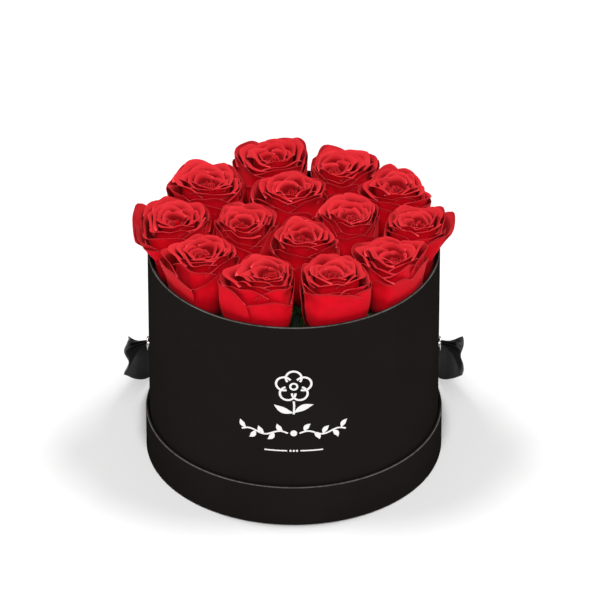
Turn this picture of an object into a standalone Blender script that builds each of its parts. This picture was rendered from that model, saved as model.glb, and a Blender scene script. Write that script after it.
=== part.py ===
"""A round hat-box flower box: a board box standing in its own upturned lid, with a ribbon handle held by
two metal eyelets, and cut roses standing in a block of foam. Metres, +Z up; the origin is on the table at
the box's axis."""

import math

import bmesh
import bpy
from mathutils import Vector

# ---- Board box and lid ----
BOX_RADIUS = 0.100          # outside of the box wall
BOX_HEIGHT = 0.1575         # length of the box wall
BOARD = 0.0020              # wrapped board of the box
LID_BOARD = 0.0020          # wrapped board of the lid
LID_HEIGHT = 0.0313         # length of the lid's hoop
LID_CLEARANCE = 0.0006      # between the box wall and the lid's hoop
GAP = 0.0003                # between pieces that rest on each other
ROUND_STEPS = 64

# ---- Eyelets ----
EYELET_HEIGHT = 0.0815      # above the table
EYELET_BORE = 0.0027
EYELET_METAL = 0.0005
FLANGE_RADIUS = 0.0050
FLANGE_THICKNESS = 0.0007
WASHER_RADIUS = 0.0062
WASHER_THICKNESS = 0.0006
ROLL_OVERLAP = 0.0010       # how far the rolled end covers the washer
CURVE_ALLOWANCE = 0.0003    # extra room where a flat washer meets the curved wall
EYELET_STEPS = 16

# ---- Ribbon handle ----
RIBBON_WIDTH = 0.025
RIBBON_THICKNESS = 0.0010
NECK_CLEARANCE = 0.0007     # between an eyelet's bore and the ribbon gathered inside it
KNOT_RADIUS = 0.0055
KNOT_LENGTH = 0.0100
NECK_INSIDE = 0.0050        # how far the gathered neck reaches inside the wall
FLARE = 0.0160              # how far the ribbon bulges out beside the box
LOOP_ROOM = 0.046           # from the back of the box to the far end of the loop
LEG_LEAN = math.radians(36) # how far the strip leans where it runs down to the table
TABLE_GAP = 0.0007          # between the table and the ribbon's lower edge
SPLINE_STEPS = 4            # sections between two route points
SECTION_CORNERS = 8

# ---- Foam and liner ----
KNOT_TO_FOAM = 0.0060       # from the knots down to the foam
LINER_WALL = 0.0006
LINER_CLEARANCE = 0.0006
LINER_LIP = 0.003           # how far the liner stands above the foam
FOAM_CLEARANCE = 0.0005

# ---- Roses ----
STEM_RADIUS = 0.0025
STEM_IN_FOAM = 0.042
HOLE_CLEARANCE = 0.0004
CALYX_HEIGHT = 0.0095
CALYX_RADIUS = 0.0070
BLOOM_RADIUS = 0.0310
BLOOM_HEIGHT = 0.0590
BLOOM_BASE_BELOW_RIM = 0.0285
BLOOM_GAP = 0.0012          # between neighbouring blooms
WALL_GAP = 0.0015           # between a bloom and the box wall below the rim
OVERHANG = 0.0005           # how far a bloom may pass the inside of the wall above the rim
WALL_TO_STEMS = 0.023       # from the inside of the wall to the ring of outer stems
BLOOM_CORNERS = 15
NOTCH_DROP = 0.0018         # how far a petal's edge drops where two petals meet
SOFT_MINIMUM = 16           # sharpness of a squeezed bloom's corners

# Outer roses: direction from the box's axis in degrees, how far the bloom leans outwards, and extra height.
OUTER_ROSES = (
    (-4, 0.0040, 0.000),
    (29, 0.0040, 0.001),
    (63, 0.0000, -0.001),
    (101, 0.0000, 0.002),
    (142, 0.0005, 0.000),
    (181, 0.0040, -0.001),
    (215, 0.0000, 0.000),
    (252, 0.0000, 0.001),
    (291, 0.0015, 0.002),
    (325, 0.0035, -0.001),
)
# Inner roses: direction, distance as a share of the outer ring's radius, and extra height.
INNER_ROSES = (
    (3, 0.52, 0.002),
    (95, 0.43, 0.003),
    (194, 0.46, 0.001),
    (284, 0.35, 0.002),
)
# Sections of a bloom from its base, up over its outer petals and in over two inner whorls to its middle:
# share of the height, share of the radius, petals in the whorl, and how deep the notches between them are.
BLOOM_PROFILE = (
    (0.00, 0.22, 0, 0.00),
    (0.10, 0.52, 0, 0.00),
    (0.28, 0.82, 5, 0.03),
    (0.55, 0.96, 5, 0.05),
    (0.80, 1.00, 5, 0.07),
    (0.90, 0.97, 5, 0.09),
    (0.87, 0.80, 5, 0.03),
    (0.96, 0.69, 3, 0.06),
    (0.95, 0.57, 3, 0.05),
    (0.91, 0.47, 3, 0.02),
    (1.00, 0.36, 0, 0.00),
    (0.95, 0.10, 0, 0.00),
)

# ---- Heights worked out from the sizes above ----
BOX_BASE = LID_BOARD + GAP
RIM = BOX_BASE + BOX_HEIGHT
BOX_INSIDE = BOX_RADIUS - BOARD
LID_INSIDE = BOX_RADIUS + LID_CLEARANCE
LID_RADIUS = LID_INSIDE + LID_BOARD
LINER_BASE = BOX_BASE + BOARD + GAP
LINER_RADIUS = BOX_INSIDE - LINER_CLEARANCE
FOAM_BASE = LINER_BASE + LINER_WALL + GAP
FOAM_RADIUS = LINER_RADIUS - LINER_WALL - FOAM_CLEARANCE
BARREL_RADIUS = EYELET_BORE + EYELET_METAL
NECK_RADIUS = EYELET_BORE - NECK_CLEARANCE
KNOT_MIDDLE = BOX_INSIDE - NECK_INSIDE - GAP - KNOT_LENGTH / 2
FOAM_TOP = EYELET_HEIGHT - KNOT_RADIUS - KNOT_TO_FOAM
STEM_RING = BOX_INSIDE - WALL_TO_STEMS
BLOOM_BASE = RIM - BLOOM_BASE_BELOW_RIM
CALYX_BASE = BLOOM_BASE - GAP - CALYX_HEIGHT
STEM_FOOT = FOAM_TOP - STEM_IN_FOAM


def clear_scene():
    for thing in list(bpy.data.objects):
        bpy.data.objects.remove(thing, do_unlink=True)


def material(name, colour, roughness, metallic=0.0):
    made = bpy.data.materials.new(name)
    made.use_nodes = True
    shader = made.node_tree.nodes["Principled BSDF"]
    shader.inputs["Base Color"].default_value = (*colour, 1.0)
    shader.inputs["Roughness"].default_value = roughness
    shader.inputs["Metallic"].default_value = metallic
    made.diffuse_color = (*colour, 1.0)
    return made


def collection(name, shown=True):
    made = bpy.data.collections.new(name)
    made.hide_render = not shown
    bpy.context.scene.collection.children.link(made)
    return made


def empty(name, location, parent=None):
    """A pivot that moving pieces hang on."""
    made = bpy.data.objects.new(name, None)
    made.location = location
    made.parent = parent
    PARTS.objects.link(made)
    return made


def shade(mesh, angle):
    """Smooth shading, apart from edges sharper than the angle in degrees."""
    mesh.shade_smooth()
    mesh.set_sharp_from_angle(angle=math.radians(angle))


def piece(name, mesh, finish, parent=None, location=(0, 0, 0), smooth=30):
    """An object for one sub-part, placed by its location under its parent."""
    made = bpy.data.objects.new(name, mesh)
    mesh.materials.append(finish)
    shade(mesh, smooth)
    made.location = location
    made.parent = parent
    PARTS.objects.link(made)
    return made


def cylinder_mesh(name, radius, low, high, steps):
    made = bpy.data.meshes.new(name)
    work = bmesh.new()
    depth = high - low
    bmesh.ops.create_cone(work, cap_ends=True, segments=steps, radius1=radius, radius2=radius, depth=depth)
    bmesh.ops.translate(work, verts=work.verts, vec=(0, 0, (low + high) / 2))
    work.to_mesh(made)
    work.free()
    return made


def profile_mesh(name, points, ring):
    """An outline of (radius, height) points in the XZ plane. A ring's outline is closed."""
    made = bpy.data.meshes.new(name)
    count = len(points)
    edges = [(i, (i + 1) % count) for i in range(count if ring else count - 1)]
    made.from_pydata([(radius, 0, height) for radius, height in points], edges, [])
    return made


def turned(name, points, finish, steps, ring=True, parent=None, location=(0, 0, 0)):
    """A profile turned round its local Z axis. The points run down the outer side, then up the inner one."""
    made = piece(name, profile_mesh(f"{name}_profile", points, ring), finish, parent, location)
    screw = made.modifiers.new("Turn", "SCREW")
    screw.axis = "Z"
    screw.angle = math.tau
    screw.steps = steps
    screw.render_steps = steps
    screw.use_merge_vertices = True
    screw.merge_threshold = 0.00001
    graph = bpy.context.evaluated_depsgraph_get()
    solid = bpy.data.meshes.new_from_object(made.evaluated_get(graph), depsgraph=graph)
    solid.name = name
    shade(solid, 30)
    made.modifiers.remove(screw)
    made.data = solid
    return made


def ring_profile(outer, inner, low, high):
    return [(outer, high), (outer, low), (inner, low), (inner, high)]


def loft_mesh(name, rings):
    """A closed solid through rings of points that all have the same number of corners."""
    made = bpy.data.meshes.new(name)
    work = bmesh.new()
    rows = [[work.verts.new(point) for point in ring] for ring in rings]
    corners = len(rings[0])
    for low, high in zip(rows, rows[1:]):
        for i in range(corners):
            j = (i + 1) % corners
            work.faces.new((low[i], low[j], high[j], high[i]))
    work.faces.new(list(reversed(rows[0])))
    work.faces.new(rows[-1])
    bmesh.ops.recalc_face_normals(work, faces=work.faces)
    work.to_mesh(made)
    work.free()
    return made


def cut(target, cutter):
    CUTTERS.objects.link(cutter)
    cutter.hide_render = True
    cutter.display_type = "WIRE"
    made = target.modifiers.new("Cut", "BOOLEAN")
    made.operation = "DIFFERENCE"
    made.solver = "EXACT"
    made.object = cutter


# ---- The lid, which stands upturned under the box ----
def make_lid():
    turned("lid_hoop", ring_profile(LID_RADIUS, LID_INSIDE, 0.0, LID_HEIGHT), PAPER, ROUND_STEPS)
    panel_radius = LID_INSIDE - GAP
    piece("lid_panel", cylinder_mesh("lid_panel", panel_radius, 0.0, LID_BOARD, ROUND_STEPS), PAPER)


# ---- The box: wall, floor and what stands in it ----
def make_box(box):
    outline = ring_profile(BOX_RADIUS, BOX_INSIDE, 0.0, BOX_HEIGHT)
    wall = turned("box_wall", outline, PAPER, ROUND_STEPS, parent=box)
    hole_mesh = cylinder_mesh("eyelet_holes", BARREL_RADIUS + GAP, -LID_RADIUS, LID_RADIUS, EYELET_STEPS)
    hole = bpy.data.objects.new("eyelet_holes", hole_mesh)
    hole.rotation_euler = (0, math.pi / 2, 0)
    hole.location = (0, 0, EYELET_HEIGHT)
    cut(wall, hole)
    floor_radius = BOX_INSIDE - GAP
    piece("box_floor", cylinder_mesh("box_floor", floor_radius, 0.0, BOARD, ROUND_STEPS), PAPER, parent=box)


def make_liner_and_foam(box):
    height = FOAM_TOP - LINER_BASE
    inside = LINER_RADIUS - LINER_WALL
    cup = [
        (0, LINER_WALL),
        (inside - 2 * LINER_WALL, LINER_WALL),
        (inside, 2 * LINER_WALL),
        (inside, height + LINER_LIP),
        (LINER_RADIUS, height + LINER_LIP),
        (LINER_RADIUS, 2 * LINER_WALL),
        (inside - LINER_WALL, 0),
        (0, 0),
    ]
    liner = turned("foam_liner", cup, FILM, ROUND_STEPS, ring=False, parent=box)
    liner.location = (0, 0, LINER_BASE - BOX_BASE)
    chamfer = 3 * LINER_WALL
    foam_height = FOAM_TOP - FOAM_BASE
    block = [
        (0, foam_height),
        (FOAM_RADIUS, foam_height),
        (FOAM_RADIUS, chamfer),
        (FOAM_RADIUS - chamfer, 0),
        (0, 0),
    ]
    foam = turned("foam_block", block, FOAM, ROUND_STEPS, ring=False, parent=box)
    foam.location = (0, 0, FOAM_BASE - BOX_BASE)
    for number, rose in enumerate(ROSES, 1):
        radius = STEM_RADIUS + HOLE_CLEARANCE
        name = f"stem_hole_{number:02d}"
        hole = bpy.data.objects.new(name, cylinder_mesh(name, radius, STEM_FOOT - GAP, FOAM_TOP + 0.01, 10))
        hole.location = (rose["stem"].x, rose["stem"].y, 0)
        cut(foam, hole)


def make_eyelet(side, direction, box):
    """An eyelet whose barrel passes the wall and rolls over an inner washer. Its +Z points out of the box."""
    flange = (GAP, GAP + FLANGE_THICKNESS)
    washer_top = -BOARD - GAP - CURVE_ALLOWANCE
    washer_low = washer_top - WASHER_THICKNESS
    roll_top = washer_low - GAP
    roll_low = roll_top - FLANGE_THICKNESS
    roll_radius = BARREL_RADIUS + GAP + ROLL_OVERLAP
    eyelet = [
        (FLANGE_RADIUS, flange[1]),
        (FLANGE_RADIUS, flange[0]),
        (BARREL_RADIUS, flange[0]),
        (BARREL_RADIUS, roll_top),
        (roll_radius, roll_top),
        (roll_radius, roll_low),
        (EYELET_BORE, roll_low),
        (EYELET_BORE, flange[1]),
    ]
    washer = ring_profile(WASHER_RADIUS, BARREL_RADIUS + GAP, washer_low, washer_top)
    for name, profile in ((f"eyelet_{side}", eyelet), (f"washer_{side}", washer)):
        made = turned(name, profile, METAL, EYELET_STEPS, parent=box)
        made.rotation_euler = (0, direction * math.pi / 2, 0)
        made.location = (direction * BOX_RADIUS, 0, EYELET_HEIGHT - BOX_BASE)


# ---- The ribbon handle ----
def handle_route():
    """The right half of the loop from inside its eyelet to the far end, measured from the eyelets' axis."""
    side = BOX_RADIUS + FLARE
    drop = EYELET_HEIGHT - RIBBON_WIDTH / 2 - TABLE_GAP
    back = BOX_RADIUS + LOOP_ROOM
    gathered = [(BOX_INSIDE - NECK_INSIDE, 0, 0), (BOX_INSIDE, 0, 0), (BOX_RADIUS + 0.003, 0, 0)]
    # How far inside the side, and the shares of the way back and of the way down to the table.
    fanned = [
        (FLARE / 2, 0.006, 0.03),
        (0.0025, 0.034, 0.12),
        (0, 0.09, 0.28),
        (0, 0.18, 0.43),
        (0.0015, 0.27, 0.58),
        (0.005, 0.36, 0.73),
        (0.010, 0.45, 0.87),
        (0.0145, 0.54, 0.96),
        (0.0165, 0.63, 0.99),
        (0.0175, 0.70, 1),
        (0.0235, 0.765, 1),
        (0.036, 0.84, 1),
        (0.056, 0.91, 1),
        (0.084, 0.97, 1),
    ]
    leg = [(side - inwards, back * along, -drop * down) for inwards, along, down in fanned]
    return [*gathered, *leg, (0, back, -drop)]


def spline(points, steps):
    """Points on a smooth curve through all the given ones."""
    ends = [points[0], *points, points[-1]]
    found = []
    for a, b, c, d in zip(ends, ends[1:], ends[2:], ends[3:]):
        for k in range(steps):
            t = k / steps
            straight = 2 * b + (c - a) * t
            bend = (2 * a - 5 * b + 4 * c - d) * t**2 + (3 * b - a - 3 * c + d) * t**3
            found.append((straight + bend) / 2)
    return [*found, points[-1]]


def ribbon_sections(route):
    """Rings round the route: a round neck in each eyelet, a flat strip between them."""
    rings = []
    middle = (len(route) - 1) / 2
    for i, point in enumerate(route):
        along = (route[min(i + 1, len(route) - 1)] - route[max(i - 1, 0)]).normalized()
        beyond = abs(point.x) - (BOX_RADIUS + 0.002) if abs(point.y) < 0.012 else 1.0
        spread = min(max(beyond / 0.009, 0.0), 1.0)
        spread = spread * spread * (3 - 2 * spread)
        flat = min(abs(i - middle) / (0.35 * middle), 1.0)
        lean = LEG_LEAN * flat * flat * (3 - 2 * flat)
        width_way = Vector((0, math.sin(lean), math.cos(lean)))
        width_way = (width_way - along * width_way.dot(along)).normalized()
        normal = along.cross(width_way)
        half_width = NECK_RADIUS + (RIBBON_WIDTH / 2 - NECK_RADIUS) * spread
        half_thick = NECK_RADIUS + (RIBBON_THICKNESS / 2 - NECK_RADIUS) * spread
        ring = []
        for k in range(SECTION_CORNERS):
            turn = math.tau * (k + 0.5) / SECTION_CORNERS
            across = width_way * half_width * math.cos(turn)
            ring.append(point + across + normal * half_thick * math.sin(turn))
        rings.append(ring)
    return rings


def make_handle(box):
    pivot = empty("handle_pivot", (0, 0, EYELET_HEIGHT - BOX_BASE), box)
    right = [Vector(point) for point in handle_route()]
    left = [Vector((-point.x, point.y, point.z)) for point in reversed(right[:-1])]
    rings = ribbon_sections(spline([*right, *left], SPLINE_STEPS)[::2])
    piece("ribbon_handle", loft_mesh("ribbon_handle", rings), SATIN, parent=pivot, smooth=60)
    for side, direction in (("right", 1), ("left", -1)):
        mesh = bpy.data.meshes.new(f"ribbon_knot_{side}")
        work = bmesh.new()
        bmesh.ops.create_uvsphere(work, u_segments=12, v_segments=8, radius=KNOT_RADIUS)
        bmesh.ops.scale(work, verts=work.verts, vec=(KNOT_LENGTH / 2 / KNOT_RADIUS, 1, 1))
        work.to_mesh(mesh)
        work.free()
        piece(mesh.name, mesh, SATIN, parent=pivot, location=(direction * KNOT_MIDDLE, 0, 0), smooth=60)


# ---- Roses ----
def rose_list():
    """Each rose's stem and bloom positions in plan, and its extra height."""
    made = []
    for degrees, outwards, lift in OUTER_ROSES:
        way = Vector((math.cos(math.radians(degrees)), math.sin(math.radians(degrees)), 0))
        made.append({"stem": way * STEM_RING, "bloom": way * (STEM_RING + outwards), "lift": lift})
    for degrees, share, lift in INNER_ROSES:
        way = Vector((math.cos(math.radians(degrees)), math.sin(math.radians(degrees)), 0))
        made.append({"stem": way * STEM_RING * share, "bloom": way * STEM_RING * share, "lift": lift})
    return made


def reach(rose, centre, way, height):
    """How far a bloom spreads from centre along way: less where a neighbour or the box wall squeezes it."""
    limits = [BLOOM_RADIUS]
    for other in ROSES:
        if other is rose:
            continue
        apart = other["bloom"] - rose["bloom"]
        towards = way.dot(apart.normalized())
        if towards > 0.05:
            room = (apart.length - BLOOM_GAP) / 2 - (centre - rose["bloom"]).dot(apart.normalized())
            limits.append(room / towards)
    wall = BOX_INSIDE + (OVERHANG if height > RIM + 0.004 else -WALL_GAP)
    across = centre.dot(way)
    limits.append(-across + math.sqrt(across * across + wall * wall - centre.length_squared))
    return sum(limit**-SOFT_MINIMUM for limit in limits) ** (-1 / SOFT_MINIMUM)


def bloom_mesh(name, rose):
    """Sections from the bloom's base to its middle, in the frame of the stem's foot, leaning outwards."""
    rings = []
    height = BLOOM_HEIGHT + rose["lift"]
    for share, radius_share, petals, notch in BLOOM_PROFILE:
        centre = rose["stem"].lerp(rose["bloom"], min(1.0, 1.6 * share))
        ring = []
        for k in range(BLOOM_CORNERS):
            turn = math.tau * k / BLOOM_CORNERS
            way = Vector((math.cos(turn), math.sin(turn), 0))
            meeting = (0.5 + 0.5 * math.cos(petals * turn)) if petals else 0.0
            drop = NOTCH_DROP * meeting if share > 0.85 else 0.0
            z = BLOOM_BASE + height * share - drop
            spread = reach(rose, centre, way, z) * radius_share * (1 - notch * meeting)
            ring.append(centre + way * spread + Vector((0, 0, z - STEM_FOOT)) - rose["stem"])
        rings.append(ring)
    return loft_mesh(name, rings)


def make_rose(number, rose, box):
    name = f"rose_{number:02d}"
    foot = empty(f"{name}_axis", (rose["stem"].x, rose["stem"].y, STEM_FOOT - BOX_BASE), box)
    piece(f"{name}_bloom", bloom_mesh(f"{name}_bloom", rose), PETAL, parent=foot, smooth=60)
    low = CALYX_BASE - STEM_FOOT
    neck = STEM_RADIUS + 0.0006
    calyx = [
        (0, low + CALYX_HEIGHT),
        (CALYX_RADIUS * 0.94, low + CALYX_HEIGHT),
        (CALYX_RADIUS, low + 0.72 * CALYX_HEIGHT),
        (CALYX_RADIUS * 0.86, low + 0.40 * CALYX_HEIGHT),
        (neck, low),
        (0, low),
    ]
    turned(f"{name}_calyx", calyx, GREEN, 10, ring=False, parent=foot)
    stem = cylinder_mesh(f"{name}_stem", STEM_RADIUS, 0.0, low - GAP, 8)
    piece(f"{name}_stem", stem, GREEN, parent=foot)


clear_scene()
PARTS = collection("flower_box")
CUTTERS = collection("cutters", shown=False)
PAPER = material("black_wrapped_board", (0.011, 0.010, 0.009), 0.55)
METAL = material("silver_eyelet", (0.62, 0.61, 0.60), 0.25, 1.0)
SATIN = material("black_satin", (0.012, 0.012, 0.012), 0.35)
FILM = material("liner_film", (0.020, 0.022, 0.020), 0.40)
FOAM = material("floral_foam", (0.060, 0.180, 0.075), 0.95)
PETAL = material("red_petal", (0.620, 0.006, 0.014), 0.60)
GREEN = material("rose_green", (0.070, 0.170, 0.040), 0.60)
ROSES = rose_list()

make_lid()
BOX = empty("box_frame", (0, 0, BOX_BASE))
make_box(BOX)
make_liner_and_foam(BOX)
make_eyelet("right", 1, BOX)
make_eyelet("left", -1, BOX)
make_handle(BOX)
for rose_number, one_rose in enumerate(ROSES, 1):
    make_rose(rose_number, one_rose, BOX)
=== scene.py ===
"""Looks of the flower box: a black paper-wrapped hat box in its upturned lid, a satin ribbon handle, silver
eyelets, and velvety red roses standing in foam. Metres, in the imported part's frame."""

import math

import bpy
import numpy as np
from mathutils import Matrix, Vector


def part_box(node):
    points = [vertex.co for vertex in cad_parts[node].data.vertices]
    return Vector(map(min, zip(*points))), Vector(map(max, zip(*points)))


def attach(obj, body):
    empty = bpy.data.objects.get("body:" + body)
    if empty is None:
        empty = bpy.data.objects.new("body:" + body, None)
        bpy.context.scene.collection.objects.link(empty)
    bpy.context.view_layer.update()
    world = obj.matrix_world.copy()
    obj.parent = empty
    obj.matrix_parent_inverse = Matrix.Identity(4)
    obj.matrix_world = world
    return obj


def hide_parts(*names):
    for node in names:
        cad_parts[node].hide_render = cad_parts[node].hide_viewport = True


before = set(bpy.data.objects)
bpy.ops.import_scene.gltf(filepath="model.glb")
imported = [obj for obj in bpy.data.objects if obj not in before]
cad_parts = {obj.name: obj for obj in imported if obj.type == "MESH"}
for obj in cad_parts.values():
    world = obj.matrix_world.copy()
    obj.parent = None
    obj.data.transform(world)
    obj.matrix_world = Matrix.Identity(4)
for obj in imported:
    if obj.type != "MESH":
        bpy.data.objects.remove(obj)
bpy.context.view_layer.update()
MM = 0.001

WALL_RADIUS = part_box("box_wall")[1].x   # to the outside of the board
RIM_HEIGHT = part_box("box_wall")[1].z

# ---- Camera and light ----
CAMERA_PLACE = (0.004223, -3.86415, 2.647676)
CAMERA_DOWN = 33.2226   # degrees below the horizon
CAMERA_LENS = 403.7
SENSOR_WIDTH = 36
FLOOR_HALF = 6.0
FLOOR_DROP = 0.2 * MM   # keeps the floor clear of the lid's underside
FLOOR_GREY = 0.53
WORLD_STRENGTH = 0.24
LIT_PLACE = (0, 0, 90 * MM)
# Each soft light's name, place, size and power.
LIGHTS = (
    ("left", (-1.25, 0.25, 3.5), 1.3, 126),
    ("right", (1.25, 0.25, 3.5), 1.3, 126),
    ("front", (0.0, -3.4, 2.8), 2.2, 132),
)

# ---- Box, lid and eyelets ----
BOARD = 2.0 * MM
EDGE_ROUND = 0.85 * MM
EDGE_HIGHLIGHT_SHARE = 0.57   # of the edge's rounding, where a highlight is painted on the paper
TURN_STEPS = 192
BORE = 2.7 * MM   # radii of the eyelet's opening, of its tube and of the hole in the wall
BARREL = 3.2 * MM
HOLE_RADIUS = 3.6 * MM
HOLE_MARGIN = 4.5 * MM   # the band of short faces above and below the holes

# ---- Ribbon ----
RIBBON_WIDTH = 25 * MM
RIBBON_THICK = 0.35 * MM
RIBBON_STEPS = (21, 261)   # across and along
TABLE_GAP = 0.7 * MM   # under the ribbon behind the box
PLEATS = 3
GATHERED_SHARE = 0.155   # the pleated width over the flat width
GATHERED_LENGTH = 11 * MM   # of fully gathered ribbon at each end
FAN_LENGTH = 24 * MM   # over which it opens to its full width
FOLD_PLACE = 42 * MM   # the middle of the soft folds where the fan ends
FOLD_LENGTH = 22 * MM
FOLD_DEPTH = 1.7 * MM
LEAN = 36   # degrees that the ribbon's face leans at the sides of the box

# ---- Emblem ----
VINE_HEIGHT = 74.4   # of the leafy rule above the table, in millimetres
RULE_HEIGHT = 60.0
INK_LIFT = 0.05 * MM
INK_THICK = 0.06 * MM

# ---- Roses ----
ROSE_COUNT = 14
NOMINAL_REACH = 28.5 * MM   # how far an unhindered bloom's outermost lips reach
NOMINAL_TALL = 59 * MM   # the height of the bloom that petal heights are given for
PETAL_BASE = 4.0 * MM
PETAL_THICK = 0.42 * MM
LIP_SHARE = 0.30   # the part of a petal's length that rolls outwards
SIDE_STEP = 0.35 * MM   # how much further in a petal's one side lies, under its neighbour
GOLDEN_TURN = math.radians(137.5)
NEIGHBOUR_SPARE = 0.55 * MM   # how far past a bloom's CAD outline its petals may reach
WALL_SPARE = 1.2 * MM   # between petals and the wall's inside
WALL_NEAR = 2.2 * MM   # a side of a bloom's outline that is nearer the wall is not a neighbour's
OVERHANG_RISE = 16 * MM   # above the rim, to where petals may overhang it fully
CORNER_SHARPNESS = 13.0   # how sharply a room's limits meet
SOFT_STOP = 2 * MM   # over which a petal eases to a stop at its limit
LEANING_ROSES = (1, 6)   # these hang further over the rim
LEANING_OVERHANG = 4.0   # millimetres more
THORN_SIDES = 8

# How far a bloom's heart sits from its outline's middle, in millimetres.
HEART_SHIFT = {
    1: (8, 1),
    2: (1, 0),
    3: (-6, 0),
    4: (2, -2),
    5: (-1, 1),
    7: (0, 2),
    8: (9, 3),
    9: (0, -2),
    10: (5, -1.5),
}

# Whorls from the middle out, in millimetres and degrees: petals, radius, height, half angle, lip, curl,
# unevenness, drop at the sides, the shares of the height between which the back is lit, grid.
WHORLS = (
    (3, 7.8, 50.0, 74, 4.2, 78, 0.7, 2.2, (0.58, 0.85), (13, 9)),
    (4, 11.0, 51.5, 60, 5.2, 86, 0.7, 2.4, (0.56, 0.83), (13, 9)),
    (4, 14.8, 51.6, 60, 6.4, 86, 0.7, 2.8, (0.54, 0.80), (15, 10)),
    (5, 19.4, 50.2, 50, 8.0, 84, 0.9, 3.8, (0.42, 0.74), (17, 13)),
    (5, 25.0, 46.6, 48, 9.5, 80, 1.2, 5.5, (0.10, 0.45), (17, 15)),
    (4, 28.5, 41.0, 52, 9.0, 72, 3.0, 7.0, (0.05, 0.42), (17, 13)),
)

# Loose outer petals that stick out past the box, for each rose, in millimetres and degrees: direction,
# overhang, height, half angle and lip.
FLARED = {
    1: ((8, 13.5, 41.5, 47, 12), (-36, 10.5, 40.5, 42, 11)),
    3: ((150, 5.0, 46.0, 40, 10), (18, 6.0, 43.0, 26, 9)),
    4: ((30, 5.0, 46.0, 40, 10),),
    6: ((170, 13.5, 43.5, 48, 12), (207, 11.5, 40.5, 44, 12)),
}


# ---------------------------------------------------------------- node materials
def new_material(name, colour, roughness, metallic=0.0):
    """A material, its node tree and its shader."""
    made = bpy.data.materials.new(name)
    made.use_nodes = True
    tree = made.node_tree
    shader = tree.nodes["Principled BSDF"]
    shader.inputs["Base Color"].default_value = (*colour, 1.0)
    shader.inputs["Roughness"].default_value = roughness
    shader.inputs["Metallic"].default_value = metallic
    return made, tree, shader


def node(tree, kind, inputs=None, **settings):
    """A node with its settings, its input values and its links from other nodes' outputs."""
    made = tree.nodes.new(kind)
    for key, value in settings.items():
        setattr(made, key, value)
    for key, value in (inputs or {}).items():
        if isinstance(value, bpy.types.NodeSocket):
            tree.links.new(value, made.inputs[key])
        else:
            made.inputs[key].default_value = value
    return made


def attribute(tree, name):
    """A number that the mesh holds for each point."""
    return node(tree, "ShaderNodeAttribute", attribute_name=name).outputs["Fac"]


def object_place(tree):
    """The place in the piece's own frame, in metres."""
    return node(tree, "ShaderNodeTexCoord").outputs["Object"]


def flat_place(tree):
    """The place on a strip or petal laid flat, from its across and along attributes."""
    inputs = {"X": attribute(tree, "across"), "Y": attribute(tree, "along")}
    return node(tree, "ShaderNodeCombineXYZ", inputs).outputs["Vector"]


def noise(tree, place, scale, detail=3.0, roughness=0.55):
    inputs = {"Vector": place, "Scale": scale, "Detail": detail, "Roughness": roughness}
    return node(tree, "ShaderNodeTexNoise", inputs).outputs["Fac"]


def span(tree, value, low, high, to_low=0.0, to_high=1.0):
    """A value mapped smoothly from one range to another."""
    inputs = {"Value": value, "From Min": low, "From Max": high, "To Min": to_low, "To Max": to_high}
    return node(tree, "ShaderNodeMapRange", inputs, interpolation_type="SMOOTHSTEP").outputs["Result"]


def maths(tree, operation, first, second=0.0):
    return node(tree, "ShaderNodeMath", {0: first, 1: second}, operation=operation).outputs["Value"]


def mixed(tree, share, first, second):
    """A colour between two, each a colour or an output."""
    made = node(tree, "ShaderNodeMix", data_type="RGBA")
    sockets = {"share": made.inputs[0], "first": made.inputs[6], "second": made.inputs[7]}
    for key, value in (("share", share), ("first", first), ("second", second)):
        if isinstance(value, bpy.types.NodeSocket):
            tree.links.new(value, sockets[key])
        else:
            sockets[key].default_value = (*value, 1.0) if key != "share" else value
    return made.outputs[2]


def bump(tree, shader, height, strength, distance):
    """Fine relief from a height, over the modelled shape."""
    inputs = {"Height": height, "Strength": strength, "Distance": distance}
    made = node(tree, "ShaderNodeBump", inputs)
    tree.links.new(made.outputs["Normal"], shader.inputs["Normal"])


def board_material():
    """Matte black paper over board: a faint fibre grain, and a painted highlight in patches on the rounded
    upper edge.
    """
    made, tree, shader = new_material("black_paper", (0.011, 0.010, 0.009), 0.55)
    place = object_place(tree)
    cloud = noise(tree, place, 18, 2)
    fibre = noise(tree, place, 1500, 2, 0.6)
    body = mixed(tree, span(tree, cloud, 0.3, 0.7), (0.0101, 0.0086, 0.0078), (0.0114, 0.0098, 0.0089))
    # Painted highlight: pale grey on the outer turn of the rounded upper edge, broken into patches.
    patchy = span(tree, noise(tree, place, 260, 3), 0.3, 0.6, 0.5, 1)
    edge_highlight = maths(tree, "MULTIPLY", attribute(tree, "edge"), patchy)
    colour = mixed(tree, edge_highlight, body, (0.085, 0.080, 0.075))
    tree.links.new(colour, shader.inputs["Base Color"])
    tree.links.new(span(tree, fibre, 0.3, 0.7, 0.50, 0.60), shader.inputs["Roughness"])
    shader.inputs["Specular IOR Level"].default_value = 0.0
    bump(tree, shader, fibre, 0.05, 0.0001)
    return made


def metal_material():
    """Bright nickel with a few fine rubbing marks."""
    made, tree, shader = new_material("bright_nickel", (0.72, 0.71, 0.69), 0.2, 1.0)
    place = object_place(tree)
    marks = noise(tree, place, 900, 4, 0.7)
    tree.links.new(span(tree, marks, 0.35, 0.7, 0.14, 0.32), shader.inputs["Roughness"])
    tint = mixed(tree, span(tree, noise(tree, place, 300), 0.3, 0.7), (0.66, 0.65, 0.63), (0.80, 0.79, 0.77))
    tree.links.new(tint, shader.inputs["Base Color"])
    bump(tree, shader, marks, 0.08, 0.0001)
    return made


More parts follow.
